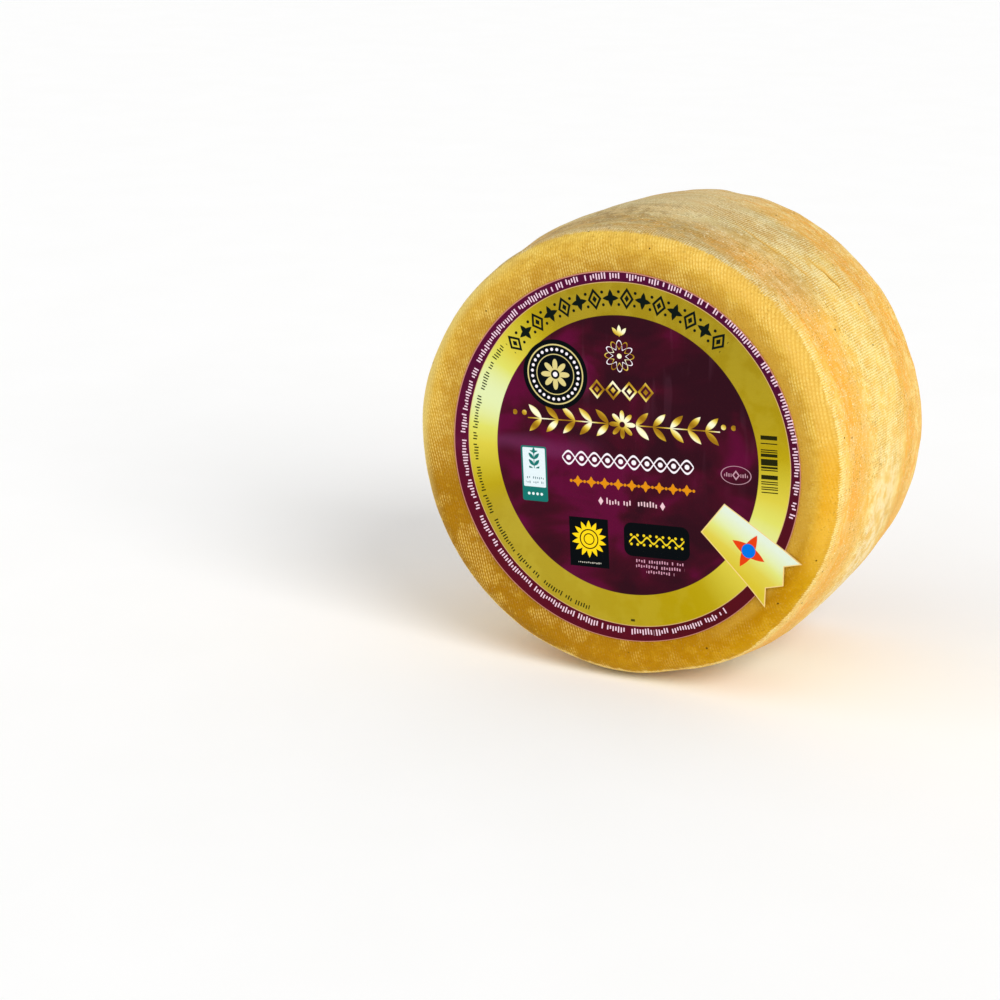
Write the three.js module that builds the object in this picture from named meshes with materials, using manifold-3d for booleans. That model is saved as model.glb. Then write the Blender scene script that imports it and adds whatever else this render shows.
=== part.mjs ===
// A whole wheel of aged sheep's-milk cheese that stands on its edge, with a thin round label on one
// of its two flat faces. Sizes are in millimetres and +Z is up. The wheel's axis lies along Y, the
// labelled face looks along -Y, and the wheel stands on the small flat spot that its weight has made.

import * as THREE from 'three';
import { mergeVertices } from 'three/addons/utils/BufferGeometryUtils.js';
import Module from 'manifold-3d';

// Driving dimensions of the wheel
const wheelWidth = 109.7;
const edgeRadius = 89.9;
const crownHeight = 4.9;
const labelSideRounding = 7.0;
const backSideRounding = 10.4;
const flatSpotDepth = 1.4;

// Driving dimensions of the label. Its print and its die-cut outline are slightly off centre, as a
// label put on by hand is: both centres are given from the wheel's axis.
const labelThickness = 0.3;
const labelRadius = 75;
const printCentre = new THREE.Vector2(3.6, 1.2);
const dieCutCentre = new THREE.Vector2(2.2, 0.0);

// The ribbon-shaped tab of the label, whose notched end stands out past the round outline. Its start
// is given from the print's centre, and its heading in degrees from +X towards +Z.
const ribbonStart = new THREE.Vector2(37.9, -19.6);
const ribbonHeading = -36.8;
const ribbonLength = 38.2;
const ribbonInnerWidth = 16;
const ribbonOuterWidth = 24.4;
const ribbonNotchDepth = 4.6;
const ribbonTeeth = 3;

// Swells and hollows that the mould, the press and the shelf left in the wheel's side. at is the place
// round the wheel in degrees from +X towards +Z, depth the distance behind the labelled face, around
// (degrees) and across (millimetres) how far each one reaches, and rise its height, below 0 in a hollow.
const swells = [
  { at: 306, depth: 26, around: 9, across: 32, rise: 1.3 },
  { at: 323, depth: 80, around: 7, across: 26, rise: -0.6 },
  { at: 20, depth: 100, around: 15, across: 30, rise: -0.6 },
  { at: 86, depth: 98, around: 16, across: 26, rise: 0.6 },
  { at: 111, depth: 60, around: 9, across: 34, rise: -0.8 },
  { at: 135, depth: 6, around: 14, across: 30, rise: -0.4 },
  { at: 171, depth: 4, around: 10, across: 26, rise: 0.7 },
  { at: 285, depth: 5, around: 8, across: 24, rise: -0.6 },
];

// How finely the wheel is divided
const stepsAround = 108;
const stepsPerRounding = 6;
const stepsAcrossSide = 12;

const wasm = await Module();
wasm.setup();

// A three.js geometry as a closed solid whose neighbouring faces share their corners.
function toSolid(geometry) {
  const bare = geometry.clone();
  bare.deleteAttribute('normal');
  bare.deleteAttribute('uv');
  const shared = mergeVertices(bare);
  return new wasm.Manifold(new wasm.Mesh({
    numProp: 3,
    vertProperties: new Float32Array(shared.attributes.position.array),
    triVerts: new Uint32Array(shared.index.array),
  }));
}

// The solid back as a three.js geometry.
function toGeometry(solid) {
  const mesh = solid.getMesh();
  const geometry = new THREE.BufferGeometry();
  geometry.setAttribute('position', new THREE.BufferAttribute(mesh.vertProperties, 3));
  geometry.setIndex(new THREE.BufferAttribute(mesh.triVerts, 1));
  geometry.computeVertexNormals();
  return geometry;
}

// How much fuller the side is at this depth: a low arch from face to face.
function crownAt(depth) {
  const fromMiddle = 2 * depth / wheelWidth - 1;
  return crownHeight * (1 - fromMiddle * fromMiddle);
}

// Height of the swells and hollows at a place on the side, each a soft bell in both directions.
function swellAt(degrees, depth) {
  let height = 0;
  for (const swell of swells) {
    const turn = ((degrees - swell.at + 540) % 360 - 180) / swell.around;
    const shift = (depth - swell.depth) / swell.across;
    height += swell.rise * Math.exp(-turn * turn - shift * shift);
  }
  return height;
}

// Half the wheel's section, from the middle of the labelled face over the side to the middle of the
// back face. x is the distance from the axis and y the depth behind the labelled face.
function wheelSection() {
  const outline = [new THREE.Vector2(0, 0)];
  for (let step = 0; step <= stepsPerRounding; step++) {
    const turn = step / stepsPerRounding * Math.PI / 2;
    outline.push(new THREE.Vector2(
      edgeRadius - labelSideRounding * (1 - Math.sin(turn)),
      labelSideRounding * (1 - Math.cos(turn)),
    ));
  }
  const straight = wheelWidth - labelSideRounding - backSideRounding;
  for (let step = 1; step < stepsAcrossSide; step++) {
    outline.push(new THREE.Vector2(edgeRadius, labelSideRounding + straight * step / stepsAcrossSide));
  }
  for (let step = 0; step <= stepsPerRounding; step++) {
    const turn = step / stepsPerRounding * Math.PI / 2;
    outline.push(new THREE.Vector2(
      edgeRadius - backSideRounding * (1 - Math.cos(turn)),
      wheelWidth - backSideRounding * (1 - Math.sin(turn)),
    ));
  }
  outline.push(new THREE.Vector2(0, wheelWidth));
  for (const point of outline) {
    point.x += crownAt(point.y) * (point.x > 0 ? 1 : 0);
  }
  return outline;
}

// The cheese: its section turned about Y, pushed in and out by the swells, and cut flat underneath.
function cheeseWheel() {
  const turned = new THREE.LatheGeometry(wheelSection(), stepsAround);
  const corners = turned.attributes.position;
  for (let i = 0; i < corners.count; i++) {
    const x = corners.getX(i);
    const depth = corners.getY(i);
    const z = corners.getZ(i);
    const degrees = THREE.MathUtils.radToDeg(Math.atan2(z, x));
    const stretch = 1 + swellAt(degrees, depth) / edgeRadius;
    corners.setXYZ(i, x * stretch, depth, z * stretch);
  }
  const size = 3 * edgeRadius;
  const below = new THREE.BoxGeometry(size, size, size);
  below.translate(0, wheelWidth / 2, -(edgeRadius + crownHeight - flatSpotDepth) - size / 2);
  return toGeometry(toSolid(turned).subtract(toSolid(below)));
}

// The tab seen from the front: a band that widens towards its end, where it is cut into points.
function ribbonOutline() {
  const heading = THREE.MathUtils.degToRad(ribbonHeading);
  const along = new THREE.Vector2(Math.cos(heading), Math.sin(heading));
  const across = new THREE.Vector2(-along.y, along.x);
  const place = (forward, sideways) => ribbonStart.clone().add(printCentre)
    .addScaledVector(along, forward).addScaledVector(across, sideways);
  const outline = [place(0, ribbonInnerWidth / 2), place(0, -ribbonInnerWidth / 2)];
  for (let step = 0; step <= 2 * (ribbonTeeth - 1); step++) {
    const isPoint = step % 2 === 0;
    const sideways = ribbonOuterWidth * (step / (2 * (ribbonTeeth - 1)) - 0.5);
    outline.push(place(ribbonLength - (isPoint ? 0 : ribbonNotchDepth), sideways));
  }
  return outline;
}

// A flat outline in the plane of the labelled face, made a sheet that lies on that face.
function sheet(shape) {
  const geometry = new THREE.ExtrudeGeometry(shape, {
    depth: labelThickness,
    bevelEnabled: false,
    curveSegments: 120,
  });
  geometry.rotateX(Math.PI / 2);
  return toSolid(geometry);
}

// The label: one thin sheet, a disc with its ribbon-shaped tab.
function labelSheet() {
  const disc = new THREE.Shape();
  disc.absarc(dieCutCentre.x, dieCutCentre.y, labelRadius, 0, 2 * Math.PI);
  return toGeometry(sheet(disc).add(sheet(new THREE.Shape(ribbonOutline()))));
}

function part(name, geometry, colour, roughness, metalness) {
  const material = new THREE.MeshStandardMaterial({ color: colour, roughness, metalness });
  const mesh = new THREE.Mesh(geometry, material);
  mesh.name = name;
  return mesh;
}

const cheese = new THREE.Group();
cheese.add(part('wheel', cheeseWheel(), 0xdcae52, 0.6, 0.0));
cheese.add(part('label', labelSheet(), 0x5a1730, 0.35, 0.3));

// Origin on the flat spot, under the middle of the whole object.
const bounds = new THREE.Box3().setFromObject(cheese);
const middle = bounds.getCenter(new THREE.Vector3());
cheese.position.set(-middle.x, -middle.y, -bounds.min.z);

export default cheese;
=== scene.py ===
"""A wheel of aged sheep's-milk cheese that stands on its edge, with a round foil label on its front.

The rind and the label are surfaces in the solids' frame, worked out in millimetres from the solids'
driving dimensions and scaled to metres as meshes. A place on the wheel is an angle round its axis, in
degrees from +X towards +Z, and a depth behind its front face. A place in the print is measured from
the print's centre, along and across its baselines.
"""
import math

import bpy
import numpy as np
from mathutils import Matrix, Vector


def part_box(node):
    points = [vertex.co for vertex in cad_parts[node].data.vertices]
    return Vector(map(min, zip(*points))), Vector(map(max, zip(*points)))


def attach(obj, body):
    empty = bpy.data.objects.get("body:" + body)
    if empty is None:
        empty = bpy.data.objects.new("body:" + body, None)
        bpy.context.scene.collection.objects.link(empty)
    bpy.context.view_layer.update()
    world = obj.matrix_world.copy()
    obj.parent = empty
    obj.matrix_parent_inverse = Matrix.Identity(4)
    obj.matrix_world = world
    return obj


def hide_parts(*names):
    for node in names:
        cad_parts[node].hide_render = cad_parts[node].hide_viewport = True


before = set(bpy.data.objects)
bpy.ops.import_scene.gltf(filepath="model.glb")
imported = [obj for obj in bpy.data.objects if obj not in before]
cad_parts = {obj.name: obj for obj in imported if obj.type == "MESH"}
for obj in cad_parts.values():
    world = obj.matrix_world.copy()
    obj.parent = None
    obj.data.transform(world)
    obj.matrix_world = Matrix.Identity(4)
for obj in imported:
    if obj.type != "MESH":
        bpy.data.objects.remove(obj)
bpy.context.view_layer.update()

MM = 0.001
FULL_TURN = 360
SHARP_FOLD = math.radians(40)

# The wheel, in millimetres
WIDTH = 109.7
EDGE_RADIUS = 89.9
CROWN = 4.9
FRONT_ROUNDING = 7
BACK_ROUNDING = 10.4

# The label, in millimetres, with its centres from the wheel's axis
LABEL_RADIUS = 75
FILM = 0.3
DIE_CENTRE = np.array((2.2, 0))
PRINT_CENTRE = np.array((3.6, 1.2))
PRINT_TILT = 3

# The ribbon, from the print's centre
RIBBON_START = np.array((37.9, -19.6))
RIBBON_HEADING = -36.8
RIBBON_LENGTH = 38.2
RIBBON_INNER_HALF = 8
RIBBON_OUTER_HALF = 12.2
RIBBON_NOTCH = 4.6
RIBBON_POINTS = 3

# Swells and hollows of the side: angle, depth, reach round (degrees), reach across, rise
SWELLS = [
    (306, 26, 9, 32, 1.3),
    (323, 80, 7, 26, -0.6),
    (20, 100, 15, 30, -0.6),
    (86, 98, 16, 26, 0.6),
    (111, 60, 9, 34, -0.8),
    (135, 6, 14, 30, -0.4),
    (171, 4, 10, 26, 0.7),
    (285, 5, 8, 24, -0.6),
]

# Where the wheel and the label stand, from the frame
label_low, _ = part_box("label")
wheel_low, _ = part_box("wheel")
DIE_SPOT = np.array((label_low[0], label_low[2])) / MM + LABEL_RADIUS
AXIS = DIE_SPOT - DIE_CENTRE
PRINT_SPOT = AXIS + PRINT_CENTRE
FRONT = wheel_low[1] / MM
FLOOR = wheel_low[2] / MM


def unit(degrees):
    """The direction at this angle, as (x, z)."""
    return np.array((math.cos(math.radians(degrees)), math.sin(math.radians(degrees))))


def smooth_step(value, low, high):
    """0 below low and 1 above high, and 3t^2 - 2t^3 between."""
    t = np.clip((value - low) / (high - low), 0, 1)
    return t * t * (3 - 2 * t)


def lattice_noise(points, spacing, seed):
    """Random heights from -1 to 1: a random number at each corner of a cubic lattice of this spacing,
    blended inside a cell by 3t^2 - 2t^3 along each axis. The lattice repeats after 64 cells."""
    size = 64
    table = np.random.default_rng(seed).uniform(-1, 1, (size, size, size))
    turn = np.array(Matrix.Rotation(0.7 + seed, 3, Vector((1, 2, 3)).normalized()))
    scaled = points @ turn / spacing
    corner = np.floor(scaled).astype(int)
    t = scaled - corner
    t = t * t * (3 - 2 * t)
    total = np.zeros(points.shape[:-1])
    for step in np.ndindex(2, 2, 2):
        weight = np.prod(np.where(step, t, 1 - t), axis=-1)
        cell = (corner + step) % size
        total += weight * table[cell[..., 0], cell[..., 1], cell[..., 2]]
    return total


def relief_of(points, waves):
    """The sum of lattice_noise over these waves, each of (spacing, height, seed)."""
    return sum(height * lattice_noise(points, spacing, seed) for spacing, height, seed in waves)


def make_piece(name, points, faces, material):
    """A mesh of points in millimetres and faces, smooth but for folds sharper than SHARP_FOLD."""
    mesh = bpy.data.meshes.new(name)
    mesh.from_pydata((points * MM).tolist(), [], faces)
    mesh.validate()
    mesh.shade_smooth()
    mesh.set_sharp_from_angle(angle=SHARP_FOLD)
    mesh.materials.append(material)
    piece = bpy.data.objects.new(name, mesh)
    bpy.context.scene.collection.objects.link(piece)
    return piece


def ring_faces(rings, columns):
    """Faces of a closed skin whose points are a pole, rings of so many columns, and the other pole.
    Quads join the rings and triangles close the poles."""
    column = np.arange(columns)
    following = (column + 1) % columns
    ring = 1 + np.arange(rings - 1)[:, None] * columns
    near, near_next = ring + column, ring + following
    quads = np.stack((near, near + columns, near_next + columns, near_next), axis=-1).reshape(-1, 4)
    last_ring = 1 + (rings - 1) * columns
    pole = last_ring + columns
    first = np.stack((np.zeros_like(column), 1 + column, 1 + following), axis=-1)
    last = np.stack((np.full_like(column, pole), last_ring + following, last_ring + column), axis=-1)
    return quads.tolist() + first.tolist() + last.tolist()


# The rind

RIND_COLUMNS = 520

# How far the rind lies inside the plain section, and how much more at the front's upper left
INSET = 0.3
UPPER_LEFT = 140
UPPER_LEFT_REACH = 42
UPPER_LEFT_INSET = 0.5

# Creases that a fold in the cheesecloth left: first angle and its depth, last angle and its depth,
# width, how deep. A low lip beside each one rises by a share of that.
CREASES = [
    (57, 53.6, 44, 57, 0.95, 0.6),
    (50.4, 54.8, 42.6, 57.4, 1.05, 1.2),
    (74, 42.4, 55.5, 37.4, 1.25, 0.55),
    (61, 39.4, 48, 41.4, 0.95, 0.6),
    (59, 47.6, 50.5, 49.4, 0.85, 0.3),
    (33, 61, 27, 63.5, 0.9, 0.3),
    (205, 36, 188, 39, 1, 0.5),
    (258, 66, 243, 63, 1, 0.4),
]
LIP_SHARE = 0.4

# Low bands that the straps of the mould left round the side: depth, half width, rise
BANDS = [
    (6.5, 2.6, 0.22),
    (11.5, 2.2, -0.22),
    (19.5, 2.6, -0.34),
    (38.5, 1.8, 0.24),
    (70, 3.2, -0.28),
    (84, 4, 0.2),
]

# Waves of the fine relief: spacing, height, seed. Dents lie towards the back of the side.
FACE_WAVES = [(38, 0.22, 11), (13, 0.1, 12)]
SIDE_WAVES = [(24, 0.3, 1), (9, 0.16, 2), (3.6, 0.07, 3)]
DENT_DEPTH = 1.3


def rind_section():
    """Distance from the axis, depth, and outward direction along half the wheel's section: straight
    across the front face, a quarter round, along the side, a quarter round, and back to the axis. The
    side is closer divided where the creases lie."""
    face = np.concatenate((np.linspace(6, 66, 12), np.linspace(69, EDGE_RADIUS - FRONT_ROUNDING, 15)))
    side = np.concatenate((
        np.arange(FRONT_ROUNDING + 1.1, 36.5, 1.2),
        np.arange(36.5, 62, 0.62),
        np.arange(62, WIDTH - BACK_ROUNDING - 0.5, 1.3),
    ))
    back_edge = EDGE_RADIUS - BACK_ROUNDING - 1.2
    back = np.concatenate((np.linspace(back_edge, 66, 9), np.linspace(62, 5, 14)))
    turn = np.linspace(0, np.pi / 2, 15)
    sine, cosine = np.sin(turn), np.cos(turn)
    front_radius = EDGE_RADIUS - FRONT_ROUNDING * (1 - sine[1:])
    front_depth = FRONT_ROUNDING * (1 - cosine[1:])
    back_radius = EDGE_RADIUS - BACK_ROUNDING * (1 - cosine)
    back_depth = WIDTH - BACK_ROUNDING * (1 - sine)
    stretches = (
        (face, 0, 0, -1),
        (front_radius, front_depth, sine[1:], -cosine[1:]),
        (EDGE_RADIUS, side, 1, 0),
        (back_radius, back_depth, cosine, sine),
        (back, WIDTH, 0, 1),
    )
    columns = [np.stack(np.broadcast_arrays(*stretch)) for stretch in stretches]
    radius, depth, outward, along = np.concatenate(columns, axis=1)
    radius = radius + CROWN * (1 - (2 * depth / WIDTH - 1) ** 2)
    return radius, depth, outward, along


def turned_by(degrees, at):
    """How far each angle lies from the one given, from -180 to 180."""
    return (degrees - at + 540) % FULL_TURN - 180


def swell(degrees, depth):
    """The side's swells and hollows: each a bell exp(-a^2 - b^2) of the turn and the depth."""
    height = 0
    for at, deep, around, across, rise in SWELLS:
        height = height + rise * np.exp(
            -(turned_by(degrees, at) / around) ** 2 - ((depth - deep) / across) ** 2
        )
    return height


def face_relief(x, z):
    """Height of the front face over its plane, from low waves as wide as a hand and a thumb."""
    points = np.stack((x, z, np.zeros_like(x)), axis=-1)
    return relief_of(points, FACE_WAVES)


def crease_marks(degrees, depth):
    """Depth of the creases, exp(-d^2) across each path and tapered at both ends, and height of the lip
    beside each one, before its share is taken."""
    groove, lip = 0, 0
    for first, first_depth, last, last_depth, width, deep in CREASES:
        t = turned_by(degrees, first) / (last - first)
        path = first_depth + (last_depth - first_depth) * t + 0.5 * np.sin(9 * t)
        taper = smooth_step(t, 0, 0.45) * (1 - smooth_step(t, 0.82, 1))
        across = (depth - path) / width
        groove = groove + deep * taper * np.exp(-across**2)
        lip = lip + deep * taper * np.exp(-((across + 1.9) / 1.2) ** 2)
    return groove, lip


def rind_points():
    """Points of the rind, pole by pole and ring by ring: the section turned round the axis, pushed in
    and out by the swells, and then moved along its own outward direction by the finer relief."""
    radius, depth, outward, along = (column[:, None] for column in rind_section())
    degrees = np.arange(RIND_COLUMNS)[None, :] * FULL_TURN / RIND_COLUMNS
    around = np.radians(degrees)
    reach = radius * (1 + swell(degrees, depth) / EDGE_RADIUS)
    x = reach * np.cos(around)
    z = reach * np.sin(around)
    y = depth + 0 * around
    points = np.stack((x, y, z), axis=-1)
    rough = relief_of(points, SIDE_WAVES)
    strength = 0.6 + 0.4 * lattice_noise(points * (1, 0.2, 1), 30, 4)
    for at, half, rise in BANDS:
        rough = rough + rise * strength * np.exp(-((y - at) / half) ** 2)
    dents = lattice_noise(points * (1, 0.5, 1), 19, 5) - 0.1
    rough = rough - DENT_DEPTH * np.maximum(dents, 0) * smooth_step(y, 72, 96)
    upper_left = np.exp(-((turned_by(degrees, UPPER_LEFT) / UPPER_LEFT_REACH) ** 2))
    rough = rough - INSET - UPPER_LEFT_INSET * upper_left * (1 - smooth_step(y, 10, 50))
    groove, lip = crease_marks(degrees, y)
    rough = rough + LIP_SHARE * lip - groove
    on_face = face_relief(x, z)
    on_side = smooth_step(y, 0, FRONT_ROUNDING)
    relief = on_face + (rough - on_face) * on_side
    points[..., 0] += relief * outward * np.cos(around)
    points[..., 2] += relief * outward * np.sin(around)
    points[..., 1] += relief * along
    middle = face_relief(np.zeros(1), np.zeros(1))[0]
    poles = np.array(((0, -middle, 0), (0, WIDTH, 0)))
    points = np.concatenate((poles[:1], points.reshape(-1, 3), poles[1:]))
    points += (AXIS[0], FRONT, AXIS[1])
    points[:, 2] = np.maximum(points[:, 2], FLOOR)
    crease = np.concatenate(((0,), (groove + 0 * x).ravel(), (0,)))
    return points, crease


def make_rind():
    """The cheese in its rind: a closed skin of rings. An attribute marks its creases, for the painted
    shade in them.
    """
    points, crease = rind_points()
    rings = (len(points) - 2) // RIND_COLUMNS
    piece = make_piece("cheese_rind", points, ring_faces(rings, RIND_COLUMNS), rind_material())
    attribute = piece.data.attributes.new("crease", "FLOAT", "POINT")
    attribute.data.foreach_set("value", crease)
    return piece


# The label

LABEL_ARC_POINTS = 470
LABEL_RINGS = 84
LABEL_BACK_RINGS = 5
HUB_BEHIND_RIBBON = 42

# How far the film lies over the face, its waves, how far the ribbon's points lift off and where that
# starts, and how far the underside is tucked into the rind inside its outermost ring
FILM_GAP = 0.12
FILM_WAVES = [(21, 0.1, 21), (8, 0.055, 22)]
POINTS_LIFT = 0.9
LIFT_START = 24
UNDERSIDE_TUCK = 0.3


def ribbon_place(forward, sideways):
    """A place on the ribbon as (x, z) from the print's centre, from steps along and across it."""
    along = unit(RIBBON_HEADING)
    across = np.array((-along[1], along[0]))
    return RIBBON_START + np.multiply.outer(forward, along) + np.multiply.outer(sideways, across)


def ribbon_half(forward):
    """Half the ribbon's width: it grows evenly from its start to its points."""
    return RIBBON_INNER_HALF + (RIBBON_OUTER_HALF - RIBBON_INNER_HALF) * forward / RIBBON_LENGTH


def edge_crossing(side):
    """How far along the ribbon its upper (side 1) or lower (-1) edge leaves the round outline."""
    forward = np.linspace(0, RIBBON_LENGTH, 4000)
    place = ribbon_place(forward, side * ribbon_half(forward)) + PRINT_CENTRE - DIE_CENTRE
    return forward[np.argmin(np.abs(np.hypot(place[:, 0], place[:, 1]) - LABEL_RADIUS))]


def label_outline():
    """The label's outline from the print's centre, anticlockwise: the long arc of the die, then the
    ribbon's lower edge, its points and notches, and its upper edge, each stretch evenly divided."""
    upper, lower = edge_crossing(1), edge_crossing(-1)
    shift = DIE_CENTRE - PRINT_CENTRE
    first = ribbon_place(upper, ribbon_half(upper)) - shift
    last = ribbon_place(lower, -ribbon_half(lower)) - shift
    start = math.atan2(first[1], first[0])
    stop = math.atan2(last[1], last[0]) + 2 * math.pi
    angle = np.linspace(start, stop, LABEL_ARC_POINTS)
    arc = shift + LABEL_RADIUS * np.stack((np.cos(angle), np.sin(angle)), axis=-1)
    steps = np.arange(2 * RIBBON_POINTS - 1)
    forward = RIBBON_LENGTH - RIBBON_NOTCH * (steps % 2)
    sideways = RIBBON_OUTER_HALF * (2 * steps / (len(steps) - 1) - 1)
    along, across = unit(RIBBON_HEADING), unit(RIBBON_HEADING + 90)
    end = ribbon_place(0, 0) + (forward[:, None] * along + sideways[:, None] * across)
    corners = np.concatenate((arc[-1:], end, arc[:1]))
    stretch = np.linspace(0, 1, 9)[1:, None]
    edges = [a + (b - a) * stretch for a, b in zip(corners[:-1], corners[1:])]
    return np.concatenate([arc, *edges])[:-1]


def label_height(place):
    """Height of the film's underside over the plane of the face. It follows the face's relief, waves a
    little, and the ribbon's points lift off the rounded edge."""
    x, z = (place + PRINT_CENTRE).T
    flat = np.stack((x, z, np.zeros_like(x)), axis=-1)
    ripple = relief_of(flat, FILM_WAVES)
    from_start = place - RIBBON_START
    forward = from_start @ unit(RIBBON_HEADING)
    lift = POINTS_LIFT * smooth_step(forward, LIFT_START, RIBBON_LENGTH) ** 2
    return face_relief(x, z) + FILM_GAP + ripple + lift


def make_label():
    """The label: rings that grow from a hub to the outline on the printed side, and fewer that shrink
    back on the underside. The hub lies on the ribbon's middle line, so no ring crosses itself."""
    outline = label_outline()
    hub = ribbon_place(-HUB_BEHIND_RIBBON, 0)
    shares = np.linspace(0, 1, LABEL_RINGS + 1)[1:]
    back_shares = np.linspace(1, 0, LABEL_BACK_RINGS + 1)[:-1]
    sides = []
    for share, rise in ((shares, FILM), (back_shares, 0)):
        place = hub + share[:, None, None] * (outline - hub)[None]
        place = place.reshape(-1, 2)
        sides.append((place, label_height(place) + rise))
    middle = label_height(hub[None])[0]
    place = np.concatenate((hub[None], sides[0][0], sides[1][0], hub[None]))
    height = np.concatenate(((middle + FILM,), sides[0][1], sides[1][1], (middle - UNDERSIDE_TUCK,)))
    inner = LABEL_RINGS * len(outline) + 1 + len(outline)
    height[inner:-1] -= UNDERSIDE_TUCK
    x, z = (PRINT_SPOT + place).T
    points = np.stack((x, FRONT - height, z), axis=-1)
    faces = ring_faces(LABEL_RINGS + LABEL_BACK_RINGS, len(outline))
    return make_piece("label_film", points, faces, label_material())


# Materials

def paint(colour):
    """The linear colour that a shader takes, from screen values of red, green and blue, 0 to 255."""
    screen = np.array(colour) / 255
    linear = np.where(screen <= 0.04045, screen / 12.92, ((screen + 0.055) / 1.055) ** 2.4)
    return (*linear, 1)


class Value:
    """One result of a node. Each operator adds a node and gives its result."""

    def __init__(self, recipe, socket):
        self.recipe = recipe
        self.socket = socket

    def __add__(self, other):
        return self.recipe.sum("ADD", self, other)

    def __sub__(self, other):
        return self.recipe.sum("SUBTRACT", self, other)

    def __rsub__(self, other):
        return self.recipe.sum("SUBTRACT", other, self)

    def __mul__(self, other):
        return self.recipe.sum("MULTIPLY", self, other)

    def __truediv__(self, number):
        return self * (1 / number)

    def __neg__(self):
        return self * -1

    def __abs__(self):
        return self.recipe.sum("ABSOLUTE", self)


class Recipe:
    """A material's nodes, written down as sums: each method adds a node and returns its result."""

    def __init__(self, name, **shader):
        self.material = bpy.data.materials.new(name)
        self.material.use_nodes = True
        self.tree = self.material.node_tree
        self.shader = self.tree.nodes["Principled BSDF"]
        for socket, value in shader.items():
            self.shader.inputs[socket.replace("_", " ")].default_value = value

    def add(self, kind, inputs=(), output=0, **settings):
        """A result of a new node. Its inputs are numbered or named, and take numbers or results."""
        node = self.tree.nodes.new(kind)
        for key, value in settings.items():
            setattr(node, key, value)
        for key, value in dict(inputs).items():
            if isinstance(value, Value):
                self.tree.links.new(value.socket, node.inputs[key])
            elif value is not None:
                node.inputs[key].default_value = value
        return Value(self, node.outputs[output])

    def sum(self, operation, a, b=None):
        return self.add("ShaderNodeMath", {0: a, 1: b}, operation=operation)

    def edge(self, a, limit, soft, before, after):
        """One value before a limit and another after it, 3t^2 - 2t^3 between, over a width of soft."""
        inputs = {0: a, 1: limit - soft / 2, 2: limit + soft / 2, 3: before, 4: after}
        settings = {"interpolation_type": "SMOOTHSTEP", "clamp": False}
        return self.add("ShaderNodeMapRange", inputs, **settings)

    def below(self, a, limit, soft):
        return self.edge(a, limit, soft, 1, 0)

    def above(self, a, limit, soft):
        return self.edge(a, limit, soft, 0, 1)

    def near(self, a, limit, soft):
        """1 where a lies between -limit and limit."""
        return self.below(abs(a), limit, soft)

    def within(self, a, low, high, soft):
        """1 where a lies between low and high."""
        return self.near(a - (low + high) / 2, (high - low) / 2, soft)

    def both(self, *masks):
        result = masks[0]
        for mask in masks[1:]:
            result = result * mask
        return result

    def either(self, *masks):
        result = masks[0]
        for mask in masks[1:]:
            result = self.sum("MAXIMUM", result, mask)
        return result

    def space(self, centre=(0, 0, 0), turn=0):
        """Object coordinates in millimetres from a centre, turned about Y."""
        inputs = {
            "Vector": self.add("ShaderNodeTexCoord", output="Object"),
            "Location": Vector(centre) * MM,
            "Rotation": (0, -math.radians(turn), 0),
            "Scale": (MM, MM, MM),
        }
        return self.add("ShaderNodeMapping", inputs, vector_type="TEXTURE")

    def parts(self, vector):
        outputs = self.add("ShaderNodeSeparateXYZ", {0: vector}).socket.node.outputs
        return [Value(self, socket) for socket in outputs]

    def length(self, x, y):
        return self.sum("SQRT", x * x + y * y)

    def stretched(self, vector, scale):
        return self.add("ShaderNodeMapping", {"Vector": vector, "Scale": scale})

    def noise(self, vector, pitch, detail=2, rough=0.5, distort=0):
        """Cloudy noise, about 0.5, whose largest patches are about this many units across."""
        inputs = {"Scale": 1 / pitch, "Detail": detail, "Roughness": rough, "Distortion": distort}
        return self.add("ShaderNodeTexNoise", {"Vector": vector, **inputs})

    def cells(self, vector, pitch):
        """Distance to the nearest of many scattered points, in pitches, and a random colour for it."""
        distance = self.add("ShaderNodeTexVoronoi", {"Vector": vector, "Scale": 1 / pitch}, "Distance")
        return distance, Value(self, distance.socket.node.outputs["Color"])

    def chance(self, number, seed=0):
        """A random number from 0 to 1 for each whole number."""
        inputs = {"W": number + seed}
        return self.add("ShaderNodeTexWhiteNoise", inputs, "Value", noise_dimensions="1D")

    def mix(self, share, a, b):
        """From colour a to colour b, each a result or a tuple of screen values."""
        a, b = (paint(colour) if isinstance(colour, tuple) else colour for colour in (a, b))
        return self.add("ShaderNodeMix", {0: share, 6: a, 7: b}, 2, data_type="RGBA")

    def blend(self, share, a, b):
        return self.add("ShaderNodeMix", {0: share, 2: a, 3: b})

    def ramp(self, value, stops):
        """A colour that changes with a value: stops are (value from 0 to 1, red, green, blue)."""
        result = self.add("ShaderNodeValToRGB", {0: value})
        elements = result.socket.node.color_ramp.elements
        while len(elements) < len(stops):
            elements.new(0.5)
        for element, (place, *colour) in zip(elements, stops):
            element.position = place
            element.color = paint(colour)
        return result

    def finish(self, **results):
        """Puts each result into the shader's socket of that name."""
        for socket, result in results.items():
            self.tree.links.new(result.socket, self.shader.inputs[socket.replace("_", " ")])
        return self.material

    def bump(self, height):
        """A normal from a height in millimetres."""
        return self.add("ShaderNodeBump", {"Height": height, "Distance": MM, "Strength": 1})


class Coat:
    """A colour over which others are laid one by one, each where a mask says, and at a share of it."""

    def __init__(self, r, colour):
        self.r = r
        self.colour = colour

    def lay(self, mask, ink, share=1):
        mask = mask * share if share < 1 else mask
        self.colour = self.r.mix(mask, self.colour, ink)


# Marks of the cloth: ribs round the side, and the threads of the faces with their dashes
RIB_COUNT = 565
THREAD_PITCH = 1.1
THREAD_LEAN = 15
DASH_PITCH = 1.6

# How far behind the front face the side's colour starts, and how much later for each millimetre to
# the right
EDGE_DEPTH = 2.5
EDGE_SLANT = 0.043


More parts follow.
